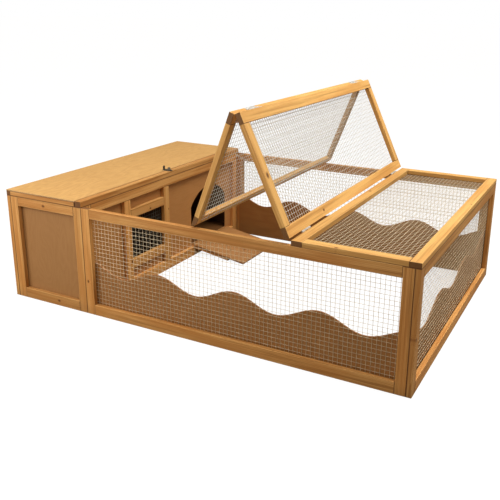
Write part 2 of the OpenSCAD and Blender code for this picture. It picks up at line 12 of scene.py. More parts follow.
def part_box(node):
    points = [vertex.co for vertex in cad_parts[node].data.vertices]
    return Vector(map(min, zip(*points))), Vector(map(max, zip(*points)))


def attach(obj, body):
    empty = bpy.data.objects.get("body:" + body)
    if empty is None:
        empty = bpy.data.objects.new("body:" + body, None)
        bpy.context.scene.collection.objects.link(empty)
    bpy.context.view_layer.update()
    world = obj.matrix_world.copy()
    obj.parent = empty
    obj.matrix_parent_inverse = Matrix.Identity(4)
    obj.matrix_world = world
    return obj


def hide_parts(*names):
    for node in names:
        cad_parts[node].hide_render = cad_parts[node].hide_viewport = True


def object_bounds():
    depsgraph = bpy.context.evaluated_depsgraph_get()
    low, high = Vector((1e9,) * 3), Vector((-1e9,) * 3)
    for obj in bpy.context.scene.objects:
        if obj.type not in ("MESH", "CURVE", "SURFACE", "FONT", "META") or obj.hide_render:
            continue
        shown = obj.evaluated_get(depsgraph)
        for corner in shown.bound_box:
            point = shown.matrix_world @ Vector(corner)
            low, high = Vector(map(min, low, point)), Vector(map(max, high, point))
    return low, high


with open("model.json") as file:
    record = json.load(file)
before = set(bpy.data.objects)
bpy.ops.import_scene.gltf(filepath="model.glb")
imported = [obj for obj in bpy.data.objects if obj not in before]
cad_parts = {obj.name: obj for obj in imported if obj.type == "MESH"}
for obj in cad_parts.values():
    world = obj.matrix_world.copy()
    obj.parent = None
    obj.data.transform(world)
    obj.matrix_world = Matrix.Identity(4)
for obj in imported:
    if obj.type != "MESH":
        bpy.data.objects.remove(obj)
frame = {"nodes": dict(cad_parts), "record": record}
cad_low, cad_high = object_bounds()
NODES = frame["nodes"]
BODY_OF = {
    node: body
    for body, members in frame["record"]["behaviour"]["bodies"].items()
    for node in members
}

# Sizes in metres
MM = 0.001
WALLS_LENGTH = 1.350        # the walls alone, without the lid's hinges
ARRIS = 1.1 * MM            # rounding of the timber's edges
BOARD_ARRIS = 0.4 * MM      # rounding of the boards' edges
JOINT_REACH = 2.6 * MM      # a side this close to its neighbour counts as a joint
BOARD_LAP = 13 * MM         # how far the box's boards reach behind their frames
MESH_PITCH = 12.9 * MM      # spacing of the welded wires
WIRE_RADIUS = 0.52 * MM
WIRE_WOBBLE = 0.2 * MM      # how far a wire strays from a straight line
WIRE_SIDES = 6              # faces round a wire
WIRE_POINTS = 12            # points along a wire
STAPLE_PITCH = 62 * MM
STAPLE_INSET = 5 * MM       # from a mesh sheet's edge to its staples
STAPLE_SINK = 0.55 * MM     # how far the staples lie below the sheet's face
SCREW_RADIUS = 3.4 * MM
SCREW_SINK = 0.36 * MM      # brings the screws' heads flush with the wood
LEAF_SCREW_RADIUS = 2.1 * MM
LEAF_SCREW_PLACES = (0.18, 0.5, 0.82)   # shares of a hinge leaf's length
SLANT = Vector((0.6, 0.5, 0.62))        # turns the screws' recesses out of square
FLOOR_GAP = 0.2 * MM        # the floor lies this far under the lowest pieces

# Seeds of the random draws
TIMBER_SEED = 11
BOARD_SEED = 23
STAPLE_SEED = 5

# Small knots: the share of members that have one, and a place too far off to show
KNOT_CHANCE = 0.30
NO_KNOT = (9.0, 9.0, 0.001)

# Finishes and painted shade, as linear colours
HONEY_LIGHT = (0.680, 0.345, 0.104)
HONEY_DARK = (0.400, 0.150, 0.030)
ROOF_LIGHT = (0.70, 0.405, 0.125)
ROOF_DARK = (0.46, 0.212, 0.052)
PALE_SAP_AND_EDGE_HIGHLIGHT = (0.780, 0.470, 0.170)
LOW_SHADE_BROWN = (0.130, 0.060, 0.022)
KNOT_BROWN = (0.110, 0.038, 0.011)
KNOT_RIM = (0.240, 0.085, 0.022)
END_BROWN = (0.135, 0.055, 0.018)
JOINT_SHADE_BROWN = (0.110, 0.038, 0.009)
PANEL_LIGHT = (0.470, 0.218, 0.068)
PANEL_DARK = (0.330, 0.137, 0.038)
PANEL_CUT = (0.50, 0.25, 0.09)
BOX_LIGHT = (0.375, 0.185, 0.063)
BOX_DARK = (0.265, 0.118, 0.036)
BOX_CUT = (0.46, 0.23, 0.085)
RAMP_LIGHT = (0.385, 0.180, 0.058)
RAMP_DARK = (0.270, 0.115, 0.033)
RAMP_CUT = (0.44, 0.21, 0.075)
LID_LIGHT = (0.620, 0.355, 0.122)
LID_DARK = (0.450, 0.232, 0.070)
LID_CUT = (0.66, 0.40, 0.17)
WAVE_LIGHT = (0.345, 0.148, 0.040)
WAVE_DARK = (0.235, 0.095, 0.023)
WAVE_CUT = (0.47, 0.21, 0.085)
GLUE_LINE_AND_RECESS_SHADE = (0.100, 0.045, 0.018)
INSIDE_SHADE = (0.30, 0.26, 0.22)
WIRE_LIGHT = (0.80, 0.66, 0.44)
WIRE_DARK = (0.62, 0.50, 0.32)
ROOF_WIRE_LIGHT = (0.78, 0.72, 0.61)
ROOF_WIRE_DARK = (0.60, 0.55, 0.45)
SHADED_WIRE_LIGHT = (0.20, 0.20, 0.16)
SHADED_WIRE_DARK = (0.13, 0.13, 0.10)
ZINC_LIGHT = (0.74, 0.72, 0.66)
ZINC_DARK = (0.55, 0.52, 0.45)
BLACK_LIGHT = (0.200, 0.180, 0.145)
BLACK_DARK = (0.075, 0.066, 0.055)

# The stage: the floor's own colour, what is seen of it, and the pale surround
FLOOR_COLOUR = (0.26, 0.225, 0.18)
FLOOR_SEEN = (0.13, 0.13, 0.13)
FLOOR_GLOW = 0.925
WARM_AIR = (1.0, 0.86, 0.70)
WHITE = (1.0, 1.0, 1.0)
AIR = 0.17                  # strength of the surround's light


# ---------------------------------------------------------------- node helpers

def add(tree, kind, inputs=None, **properties):
    """A new node, with its properties set and its inputs given as values or as sockets to link."""
    node = tree.nodes.new(kind)
    for name, value in properties.items():
        setattr(node, name, value)
    for key, value in (inputs or {}).items():
        if isinstance(value, bpy.types.NodeSocket):
            tree.links.new(value, node.inputs[key])
        else:
            node.inputs[key].default_value = value
    return node


def calc(tree, operation, *values):
    """A Math node's result."""
    return add(tree, "ShaderNodeMath", dict(enumerate(values)), operation=operation).outputs[0]


def vector_calc(tree, operation, *values):
    """A Vector Math node's vector."""
    return add(tree, "ShaderNodeVectorMath", dict(enumerate(values)), operation=operation).outputs[0]


def step(tree, value, low, high, out_low=0.0, out_high=1.0):
    """A smooth step of a value from one range to another."""
    node = add(tree, "ShaderNodeMapRange", {"Value": value, "From Min": low, "From Max": high,
                                            "To Min": out_low, "To Max": out_high})
    node.interpolation_type = "SMOOTHSTEP"
    return node.outputs["Result"]


# Places of the two colours among a Mix node's inputs, and of the mixed colour among its outputs
FIRST_COLOUR, SECOND_COLOUR, MIXED_COLOUR = 6, 7, 2


def mix_colour(tree, factor, first, second, blend="MIX"):
    """A colour between two, each given as a socket or as three numbers."""
    def whole(colour):
        return colour if isinstance(colour, bpy.types.NodeSocket) else (*colour, 1.0)
    inputs = {"Factor": factor, FIRST_COLOUR: whole(first), SECOND_COLOUR: whole(second)}
    return add(tree, "ShaderNodeMix", inputs, data_type="RGBA", blend_type=blend).outputs[MIXED_COLOUR]


def split(tree, vector):
    """The X, Y and Z of a vector."""
    return add(tree, "ShaderNodeSeparateXYZ", {0: vector}).outputs


def hypotenuse(tree, first, second):
    """Length of two distances at right angles."""
    squares = [calc(tree, "MULTIPLY", side, side) for side in (first, second)]
    return calc(tree, "SQRT", calc(tree, "ADD", *squares))


def noise(tree, place, stretch, detail, roughness=0.5):
    """A noise texture's outputs, at a place multiplied along each axis."""
    stretched = vector_calc(tree, "MULTIPLY", place, stretch)
    return add(tree, "ShaderNodeTexNoise", {
        "Vector": stretched, "Scale": 1.0, "Detail": detail, "Roughness": roughness}).outputs


def new_group(name, kind, inputs, outputs):
    """A node group with named inputs and outputs, its input node and a function that links an output."""
    group = bpy.data.node_groups.new(name, kind)
    for label, (socket_type, value) in inputs.items():
        socket = group.interface.new_socket(name=label, in_out="INPUT", socket_type=socket_type)
        if value is not None:
            socket.default_value = value
    for label, socket_type in outputs.items():
        group.interface.new_socket(name=label, in_out="OUTPUT", socket_type=socket_type)
    source = group.nodes.new("NodeGroupInput")
    sink = group.nodes.new("NodeGroupOutput")

    def give(label, socket):
        group.links.new(socket, sink.inputs[label])
    return group, source, give


def use_group(tree, group, inputs):
    """The outputs of a shader group placed in a material."""
    return add(tree, "ShaderNodeGroup", inputs, node_tree=group).outputs


VECTOR = "NodeSocketVector"
FLOAT = "NodeSocketFloat"


# ---------------------------------------------------------------- shader groups

def member_edges_group():
    """How near a point in a member's own frame is to the member's edges, ends and joints."""
    group, source, give = new_group(
        "Member edges", "ShaderNodeTree",
        {"Grain": (VECTOR, None), "Half": (VECTOR, None),
         "Joint Low": (VECTOR, None), "Joint High": (VECTOR, None)},
        {"Edge": FLOAT, "End": FLOAT, "Joint": FLOAT},
    )
    grain, half = source.outputs["Grain"], source.outputs["Half"]
    place = vector_calc(group, "ABSOLUTE", grain)
    along, wide, thick = split(group, vector_calc(group, "SUBTRACT", half, place))
    # The second smallest of the three depths is small only near an edge
    nearest = calc(group, "MINIMUM", along, wide)
    further = calc(group, "MAXIMUM", along, wide)
    second = calc(group, "MAXIMUM", nearest, calc(group, "MINIMUM", further, thick))
    give("Edge", step(group, second, 0.0, 3.2 * MM, 1.0, 0.0))
    give("End", step(group, along, 0.4 * MM, 1.1 * MM, 1.0, 0.0))
    # Painted shade: a dark line where a side of the member lies against its neighbour
    seams = []
    for label, sign in (("Joint Low", "ADD"), ("Joint High", "SUBTRACT")):
        reach = split(group, vector_calc(group, sign, half, grain))
        flags = split(group, source.outputs[label])
        for axis in "XYZ":
            near = step(group, reach[axis], 0.6 * MM, 2.6 * MM, 1.0, 0.0)
            seams.append(calc(group, "MULTIPLY", near, flags[axis]))
    total = seams[0]
    for seam in seams[1:]:
        total = calc(group, "MAXIMUM", total, seam)
    give("Joint", total)
    return group


def timber_grain_group():
    """Growth rings of a sawn softwood member, wavy along its length, with fibres and at most one knot."""
    group, source, give = new_group(
        "Timber grain", "ShaderNodeTree",
        {"Grain": (VECTOR, None), "Tree": (FLOAT, 0.0), "Knot": (VECTOR, None),
         "Ring Width": (FLOAT, 3.2 * MM)},
        {"Rings": FLOAT, "Fibre": FLOAT, "Streak": FLOAT,
         "Knot": FLOAT, "Knot Ring": FLOAT, "Height": FLOAT},
    )
    grain, tree_number = source.outputs["Grain"], source.outputs["Tree"]
    tree_offset = add(group, "ShaderNodeCombineXYZ", {
        "X": calc(group, "MULTIPLY", tree_number, 7.3), "Y": tree_number,
        "Z": calc(group, "MULTIPLY", tree_number, 3.1)})
    place = vector_calc(group, "ADD", grain, tree_offset.outputs[0])
    # The knot runs through the thickness: an oval on the broad face, its size in the third number
    knot = split(group, source.outputs["Knot"])
    here = split(group, grain)
    along = calc(group, "MULTIPLY", calc(group, "SUBTRACT", here["X"], knot["X"]), 0.72)
    across = calc(group, "SUBTRACT", here["Y"], knot["Y"])
    ragged = noise(group, place, (90.0, 140.0, 60.0), 2.0)
    radii = calc(group, "DIVIDE", hypotenuse(group, along, across), knot["Z"])
    radii = calc(group, "ADD", radii, calc(group, "MULTIPLY_ADD", ragged["Fac"], 0.5, -0.25))
    bend = step(group, radii, 0.6, 4.2, 1.0, 0.0)
    # The rings are circles about a pith that wanders, and they bend round the knot
    wander = noise(group, place, (2.4, 16.0, 16.0), 2.0)
    away = split(group, vector_calc(group, "MULTIPLY_ADD", wander["Color"], (0.0, 0.018, 0.018), grain))
    reach = calc(group, "MULTIPLY_ADD", tree_number, 0.10, 0.012)
    side = calc(group, "ADD", away["Y"], reach)
    rise = calc(group, "SUBTRACT", away["Z"], calc(group, "MULTIPLY", reach, 0.7))
    bent = calc(group, "ADD", hypotenuse(group, side, rise), calc(group, "MULTIPLY", bend, 0.008))
    turns = calc(group, "FRACT", calc(group, "DIVIDE", bent, source.outputs["Ring Width"]))
    # Early wood is pale and wide, late wood darkens slowly and stops at once
    rings = calc(group, "MULTIPLY", calc(group, "POWER", turns, 2.2), step(group, turns, 0.93, 1.0, 1.0, 0.0))
    fibre = noise(group, place, (22.0, 850.0, 850.0), 3.0, 0.6)["Fac"]
    give("Rings", rings)
    give("Fibre", fibre)
    give("Streak", noise(group, place, (3.0, 130.0, 130.0), 3.0, 0.55)["Fac"])
    give("Knot", step(group, radii, 0.80, 1.05, 1.0, 0.0))
    rim_begins, rim_ends = step(group, radii, 0.75, 1.0), step(group, radii, 1.0, 1.9, 1.0, 0.0)
    give("Knot Ring", calc(group, "MULTIPLY", rim_begins, rim_ends))
    give("Height", calc(group, "ADD", calc(group, "MULTIPLY", rings, 0.5), fibre))
    return group


def veneer_group():
    """Figure of a rotary-cut veneer: broad, wavy flames along the grain, with fine pores."""
    group, source, give = new_group(
        "Veneer", "ShaderNodeTree",
        {"Grain": (VECTOR, None), "Tree": (FLOAT, 0.0), "Breadth": (FLOAT, 0.055)},
        {"Figure": FLOAT, "Pores": FLOAT, "Blotch": FLOAT},
    )
    tree_number = source.outputs["Tree"]
    shift = add(group, "ShaderNodeCombineXYZ", {
        "X": tree_number, "Y": calc(group, "MULTIPLY", tree_number, 2.7)})
    place = vector_calc(group, "ADD", source.outputs["Grain"], shift.outputs[0])
    wander = noise(group, place, (1.6, 5.0, 5.0), 3.0, 0.55)
    bands = calc(group, "DIVIDE", wander["Fac"], source.outputs["Breadth"])
    figure = calc(group, "ABSOLUTE", calc(group, "SUBTRACT", calc(group, "FRACT", bands), 0.5))
    give("Figure", calc(group, "MULTIPLY", figure, 2.0))
    give("Pores", noise(group, place, (30.0, 700.0, 700.0), 2.0)["Fac"])
    give("Blotch", noise(group, place, (4.0, 7.0, 7.0), 4.0)["Fac"])
    return group


def metal_wear_group():
    """Zinc bloom and fine scratches over small steel pieces."""
    group, source, give = new_group(
        "Metal wear", "ShaderNodeTree",
        {"Vector": (VECTOR, None), "Bloom Scale": (FLOAT, 160.0)},
        {"Bloom": FLOAT, "Scratch": FLOAT},
    )
    vector = source.outputs["Vector"]
    bloom = add(group, "ShaderNodeTexNoise", {
        "Vector": vector, "Scale": source.outputs["Bloom Scale"], "Detail": 3.0})
    give("Bloom", bloom.outputs["Fac"])
    give("Scratch", noise(group, vector, (900.0, 90.0, 900.0), 1.0)["Fac"])
    return group


MEMBER_EDGES = member_edges_group()
TIMBER_GRAIN = timber_grain_group()
VENEER = veneer_group()
METAL_WEAR = metal_wear_group()


# ---------------------------------------------------------------- materials

def new_material(name):
    """A node material with its Principled shader."""
    material = bpy.data.materials.new(name)
    material.use_nodes = True
    return material, material.node_tree, material.node_tree.nodes["Principled BSDF"]


def attribute(tree, name, output="Vector"):
    """A socket that reads a mesh attribute."""
    return add(tree, "ShaderNodeAttribute", attribute_name=name, attribute_type="GEOMETRY").outputs[output]


def bump(tree, height, strength, distance):
    """A Bump node's normal."""
    node = add(tree, "ShaderNodeBump", {"Height": height, "Strength": strength, "Distance": distance})
    return node.outputs["Normal"]


def shade(colour, amount):
    """A colour made darker or paler by a factor."""
    return tuple(amount * part for part in colour)


def pine_material(name, light, dark):
    """Honey-stained pine: rings, streaks and fibres, blotchy stain, brown knots, end grain, a painted shade
    line at the joints, painted shade low down, and paler arrises that are partly wear and partly painted
    highlight.
    """
    material, tree, shader = new_material(name)
    grain = attribute(tree, "grain")
    tint = attribute(tree, "tint", "Fac")
    wood = use_group(tree, TIMBER_GRAIN, {"Grain": grain, "Tree": tint, "Knot": attribute(tree, "knot")})
    edges = use_group(tree, MEMBER_EDGES, {
        "Grain": grain, "Half": attribute(tree, "half"),
        "Joint Low": attribute(tree, "joint_low"), "Joint High": attribute(tree, "joint_high")})
    stain = noise(tree, grain, (5.0, 30.0, 30.0), 3.0)["Fac"]
    body = mix_colour(tree, calc(tree, "MULTIPLY", wood["Rings"], 0.80), light, dark)
    body = mix_colour(tree, step(tree, wood["Fibre"], 0.50, 0.74, 0.0, 0.30), body, dark)
    body = mix_colour(tree, step(tree, wood["Streak"], 0.48, 0.66, 0.0, 0.60), body, shade(dark, 0.75))
    body = mix_colour(tree, step(tree, wood["Streak"], 0.50, 0.28, 0.0, 0.35), body, PALE_SAP_AND_EDGE_HIGHLIGHT)
    body = mix_colour(tree, step(tree, stain, 0.42, 0.64, 0.0, 0.55), body, shade(dark, 1.15))
    # Members come from different boards: some are paler than others
    member_tone = calc(tree, "MULTIPLY_ADD", tint, 0.30, 0.86)
    grey = add(tree, "ShaderNodeCombineColor", {0: member_tone, 1: member_tone, 2: member_tone})
    body = mix_colour(tree, 1.0, body, grey.outputs[0], "MULTIPLY")
    # Painted shade: the wood is made darker close to the ground, where the lowest faces fall into shade
    height = split(tree, add(tree, "ShaderNodeTexCoord").outputs["Object"])["Z"]
    low_shade_level = calc(tree, "MULTIPLY_ADD", stain, 0.03, height)
    body = mix_colour(tree, step(tree, low_shade_level, 0.015, 0.060, 0.18, 0.0), body, LOW_SHADE_BROWN)
    # Paler arrises, partly wear and partly a painted highlight where the edges catch the light; then knots,
    # end grain, and a painted shade line at the joints
    for layer, strength, colour in (
            (edges["Edge"], 0.26, PALE_SAP_AND_EDGE_HIGHLIGHT), (wood["Knot Ring"], 0.65, KNOT_RIM),
            (wood["Knot"], 0.90, KNOT_BROWN), (edges["End"], 0.90, END_BROWN),
            (edges["Joint"], 0.84, JOINT_SHADE_BROWN)):
        body = mix_colour(tree, calc(tree, "MULTIPLY", layer, strength), body, colour)
    tree.links.new(body, shader.inputs["Base Color"])
    tree.links.new(step(tree, wood["Fibre"], 0.3, 0.7, 0.48, 0.66), shader.inputs["Roughness"])
    tree.links.new(bump(tree, wood["Height"], 0.35, 0.4 * MM), shader.inputs["Normal"])
    shader.inputs["Specular IOR Level"].default_value = 0.22
    return material


def board_material(name, light, dark, cut, breadth, contrast, lap=None):
    """Stained plywood: veneer figure, paler cut edges with glue lines, painted shade on the faces inside the
    box and, on lapped boards, in the corner behind the frame.
    """
    material, tree, shader = new_material(name)
    grain = attribute(tree, "grain")
    cut_edge = attribute(tree, "cut", "Fac")
    figure = use_group(tree, VENEER, {
        "Grain": grain, "Tree": attribute(tree, "tint", "Fac"), "Breadth": breadth})
    place = vector_calc(tree, "ABSOLUTE", grain)
    depth = split(tree, vector_calc(tree, "SUBTRACT", attribute(tree, "half"), place))
    body = mix_colour(tree, calc(tree, "MULTIPLY", figure["Figure"], contrast), light, dark)
    between = tuple(0.55 * a + 0.45 * b for a, b in zip(light, dark))
    body = mix_colour(tree, step(tree, figure["Blotch"], 0.35, 0.7, 0.0, 0.45), body, between)
    body = mix_colour(tree, step(tree, figure["Pores"], 0.55, 0.78, 0.0, 0.35), body, dark)
    body = mix_colour(tree, cut_edge, body, cut)
    # Inside the outer veneers the glue lines show as dark stripes
    stripe = calc(tree, "MULTIPLY", step(tree, depth["Z"], 0.8 * MM, 1.1 * MM),
                  step(tree, depth["Z"], 1.4 * MM, 1.8 * MM, 1.0, 0.0))
    stripe = calc(tree, "MULTIPLY", stripe, calc(tree, "MULTIPLY", cut_edge, 0.8))
    body = mix_colour(tree, stripe, body, GLUE_LINE_AND_RECESS_SHADE)
    if lap:
        # Painted shade: a dark band in the corner where the board goes behind its frame. The board is also
        # made darker towards one side
        corner = calc(tree, "SUBTRACT", calc(tree, "MINIMUM", depth["X"], depth["Y"]), lap)
        body = mix_colour(tree, step(tree, corner, 0.5 * MM, 7.0 * MM, 0.62, 0.0), body, GLUE_LINE_AND_RECESS_SHADE)
        body = mix_colour(tree, step(tree, split(tree, grain)["Y"], -0.16, 0.10, 0.22, 0.0), body, dark)
    # Painted shade on the faces that look into the box
    body = mix_colour(tree, attribute(tree, "inside", "Fac"), body, INSIDE_SHADE, "MULTIPLY")
    tree.links.new(body, shader.inputs["Base Color"])
    tree.links.new(step(tree, figure["Pores"], 0.3, 0.8, 0.46, 0.66), shader.inputs["Roughness"])
    tree.links.new(bump(tree, figure["Pores"], 0.22, 0.3 * MM), shader.inputs["Normal"])
    shader.inputs["Specular IOR Level"].default_value = 0.25
    return material


def steel_material(name, light, dark, roughness, bloom_scale, metallic=1.0):
    """Plated steel with a mottled bloom and fine scratches."""
    material, tree, shader = new_material(name)
    coordinates = add(tree, "ShaderNodeTexCoord").outputs["Object"]
    wear = use_group(tree, METAL_WEAR, {"Vector": coordinates, "Bloom Scale": bloom_scale})
    body = mix_colour(tree, step(tree, wear["Bloom"], 0.35, 0.65), light, dark)
    tree.links.new(body, shader.inputs["Base Color"])
    tree.links.new(step(tree, wear["Scratch"], 0.3, 0.7, roughness - 0.08, roughness + 0.12),
                   shader.inputs["Roughness"])
    tree.links.new(bump(tree, wear["Scratch"], 0.15, 0.1 * MM), shader.inputs["Normal"])
    shader.inputs["Metallic"].default_value = metallic
    return material


PINE = pine_material("stained pine", HONEY_LIGHT, HONEY_DARK)
ROOF_PINE = pine_material("stained pine of the roof", ROOF_LIGHT, ROOF_DARK)
PANEL_PLY = board_material("stained panel plywood", PANEL_LIGHT, PANEL_DARK, PANEL_CUT,
                           breadth=0.060, contrast=0.22)
BOX_PLY = board_material("stained box plywood", BOX_LIGHT, BOX_DARK, BOX_CUT,
                         breadth=0.030, contrast=0.25, lap=BOARD_LAP)
RAMP_PLY = board_material("stained ramp plywood", RAMP_LIGHT, RAMP_DARK, RAMP_CUT,
                          breadth=0.050, contrast=0.30)
LID_PLY = board_material("stained lid plywood", LID_LIGHT, LID_DARK, LID_CUT,
                         breadth=0.045, contrast=0.45)
WAVE_PLY = board_material("brown wave board", WAVE_LIGHT, WAVE_DARK, WAVE_CUT,
                          breadth=0.080, contrast=0.35)
WIRE = steel_material("galvanised wire", WIRE_LIGHT, WIRE_DARK,
                      roughness=0.42, bloom_scale=220.0, metallic=0.2)
ROOF_WIRE = steel_material("bright galvanised wire", ROOF_WIRE_LIGHT, ROOF_WIRE_DARK,
                           roughness=0.42, bloom_scale=220.0, metallic=0.2)
# The window's wire: the same wire made darker, a painted shade
SHADED_WIRE = steel_material("wire with painted shade", SHADED_WIRE_LIGHT, SHADED_WIRE_DARK,
                             roughness=0.55, bloom_scale=220.0, metallic=0.3)
ZINC = steel_material("zinc plate", ZINC_LIGHT, ZINC_DARK,
                      roughness=0.38, bloom_scale=160.0, metallic=0.45)
DARK_STEEL = steel_material("blackened steel", BLACK_LIGHT, BLACK_DARK,
                            roughness=0.46, bloom_scale=120.0)


# ---------------------------------------------------------------- mesh helpers

def link_piece(name, mesh, material, body):
    """Puts a finished mesh in the scene as a piece that rides on a body."""
    mesh.materials.clear()
    mesh.materials.append(material)
    piece = bpy.data.objects.new(name, mesh)
    bpy.context.scene.collection.objects.link(piece)
    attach(piece, body)
    return piece


def clean_copy(node):
    """A merged copy of a CAD node's mesh, its flat faces whole again."""
    shape = bmesh.new()
    shape.from_mesh(NODES[node].data)
    bmesh.ops.remove_doubles(shape, verts=shape.verts, dist=1e-6)
    bmesh.ops.dissolve_limit(shape, angle_limit=math.radians(0.6), verts=shape.verts, edges=shape.edges)
    return shape


def islands(shape):
    """Lists of the vertices that hang together."""
    left = set(shape.verts)
    found = []
    while left:
        group, front = [], [left.pop()]
        while front:
            vert = front.pop()
            group.append(vert)
            for edge in vert.link_edges:
                other = edge.other_vert(vert)
                if other in left:
                    left.remove(other)
                    front.append(other)
        found.append(group)
    return sorted(found, key=lambda g: tuple(round(c, 5) for c in min(v.co.to_tuple() for v in g)))


def own_frame(verts):
    """A member's centre, its directions from long to thin, and its half sizes, read from its edges."""
    edges = {edge for vert in verts for edge in vert.link_edges}
    spans = sorted(((edge.verts[1].co - edge.verts[0].co) for edge in edges), key=lambda s: -s.length)
    first = spans[0].normalized()
    second = next(s for s in spans if abs(s.normalized().dot(first)) < 0.02).normalized()
    directions = [first, second, first.cross(second)]
    ranges = [(min(v.co.dot(d) for v in verts), max(v.co.dot(d) for v in verts)) for d in directions]
    order = sorted(range(3), key=lambda i: ranges[i][0] - ranges[i][1])
    directions = [directions[i] for i in order]
    ranges = [ranges[i] for i in order]
    for i, direction in enumerate(directions):
        if max(direction, key=abs) < 0:
            directions[i] = -direction
            ranges[i] = (-ranges[i][1], -ranges[i][0])
    centre = sum((d * (low + high) / 2 for d, (low, high) in zip(directions, ranges)), Vector())
    return centre, directions, [(high - low) / 2 for low, high in ranges]


def read_members():
    """Every wooden member and board by its node: its centre, its directions and its half sizes."""
    found = {}
    for node in sorted(NODES):
        if node.endswith(TIMBER_ENDINGS + BOARD_ENDINGS):
            shape = clean_copy(node)
            found[node] = [own_frame(group) for group in islands(shape)]
            shape.free()
    return found


def touched_sides(member):
    """Which of a member's six sides lie mostly against other members: the low sides, then the high ones."""
    centre, directions, sizes = member
    others = [other for members in MEMBERS.values() for other in members if other is not member]
    low, high = [0.0] * 3, [0.0] * 3
    # Nine points are tried just outside each side
    spread = (-0.75, 0.0, 0.75)
    for axis in range(3):
        first, second = (i for i in range(3) if i != axis)
        for sign, flags in ((-1, low), (1, high)):
            hits = 0
            for a in spread:
                for b in spread:
                    point = (centre + directions[axis] * sign * (sizes[axis] + JOINT_REACH)
                             + directions[first] * a * sizes[first]
                             + directions[second] * b * sizes[second])
                    hits += any(inside(point, other) for other in others)
            flags[axis] = 1.0 if hits >= 5 else 0.0
    return low, high


def inside(point, member):
    """Whether a point lies in a member's box."""
    centre, directions, sizes = member
    reach = point - centre
    return all(abs(reach.dot(direction)) <= size for direction, size in zip(directions, sizes))


def knot_in(node, member, dice):
    """Where a member's knot lies along and across it, and its radius: a chosen one, a random one, or none."""
    centre, directions, sizes = member
    chance, along, across, size = (dice.random() for _ in range(4))
    for name, point, radius in KNOTS:
        if name == node and inside(point, (centre, directions, [s + 2 * MM for s in sizes])):
            reach = point - centre
            return reach.dot(directions[0]), reach.dot(directions[1]), radius
    if chance > KNOT_CHANCE:
        return NO_KNOT
    # In the middle four fifths of the member, 1.5 to 3.5 mm in radius
    return (along * 1.6 - 0.8) * sizes[0], (across * 1.6 - 0.8) * sizes[1], (1.5 + 2.0 * size) * MM


def stand_in(shape, node, material):
    """Makes a finished shape the piece that takes a CAD node's place."""
    mesh = bpy.data.meshes.new(node + "_finished")
    shape.to_mesh(mesh)
    shape.free()
    piece = link_piece(node + "_finished", mesh, material, BODY_OF[node])
    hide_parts(node)


def wooden_piece(node, material, arris, dice):
    """A node's members or boards, each with rounded edges and its own grain, in place of the CAD shape."""
    shape = clean_copy(node)
    bmesh.ops.bevel(shape, geom=list(shape.edges), offset=arris, segments=2, profile=0.6, affect="EDGES",
                    clamp_overlap=True)
    bmesh.ops.recalc_face_normals(shape, faces=shape.faces)
    grain = shape.verts.layers.float_vector.new("grain")
    half = shape.verts.layers.float_vector.new("half")
    joint_low = shape.verts.layers.float_vector.new("joint_low")
    joint_high = shape.verts.layers.float_vector.new("joint_high")
    tint = shape.verts.layers.float.new("tint")
    knot = shape.verts.layers.float_vector.new("knot")
    cut = shape.faces.layers.float.new("cut")
    inside_face = shape.faces.layers.float.new("inside")
    for member, group in zip(MEMBERS[node], islands(shape)):
        centre, directions, sizes = member
        tone = dice.random()
        low, high = touched_sides(member)
        knot_place = knot_in(node, member, dice)
        # Cut faces are those that don't face along the thickness
        for face in {face for vert in group for face in vert.link_faces}:
            face[cut] = float(abs(face.normal.dot(directions[2])) < 0.5)
            face[inside_face] = float(node in INSIDE_FACES and face.normal.dot(INSIDE_FACES[node]) > 0.9)
        for vert in group:
            vert[knot] = knot_place
            vert[joint_low] = low
            vert[joint_high] = high
            place = vert.co - centre
            vert[grain] = [place.dot(direction) for direction in directions]
            vert[half] = sizes
            vert[tint] = tone
    stand_in(shape, node, material)


def steel_piece(node, material):
    """A steel node with smooth round faces and crisp edges, in place of the plain CAD shape."""
    shape = clean_copy(node)
    for face in shape.faces:
        face.smooth = True
    for edge in shape.edges:
        edge.smooth = len(edge.link_faces) == 2 and edge.calc_face_angle() < math.radians(35)
    bmesh.ops.triangulate(shape, faces=[f for f in shape.faces if len(f.verts) > 4])
    stand_in(shape, node, material)


TIMBER_ENDINGS = ("_stiles", "_rails", "_strip", "_bearers", "_battens")
BOARD_ENDINGS = ("_board", "_boards", "_floor")
MEMBERS = read_members()
# Faces that look into the closed sleeping box, darkened with a painted shade
INSIDE_FACES = {
    "left_wall_board": Vector((1, 0, 0)),
    "box_front_board": Vector((0, 1, 0)),
    "box_back_board": Vector((0, -1, 0)),
    "inner_wall_pop_hole_board": Vector((-1, 0, 0)),
    "inner_wall_front_board": Vector((-1, 0, 0)),
    "inner_wall_window_boards": Vector((-1, 0, 0)),
    "box_floor": Vector((0, 0, 1)),
    "lid_board": Vector((0, 0, -1)),
}


def share(node, x, y, z):
    """A point at a share of the way from a node's low corner to its high corner."""
    low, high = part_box(node)
    return Vector([a + (b - a) * t for a, b, t in zip(low, high, (x, y, z))])


# The larger knots: the member's node, a point in the member, and the knot's radius
KNOTS = [
    ("roof_a_cross_rails", share("roof_a_cross_rails", 0.49, 0.016, 0.49), 4.6 * MM),
    ("box_front_rails", share("box_front_rails", 0.62, 0.5, 0.05), 3.4 * MM),
    ("fixed_roof_long_rails", share("fixed_roof_long_rails", 0.03, 0.60, 0.9), 3.6 * MM),
    ("run_back_rails", share("run_back_rails", 0.70, 0.5, 0.95), 3.4 * MM),
    ("roof_a_long_rails", share("roof_a_long_rails", 0.93, 0.25, 0.06), 3.0 * MM),
]


# ---------------------------------------------------------------- geometry node trees

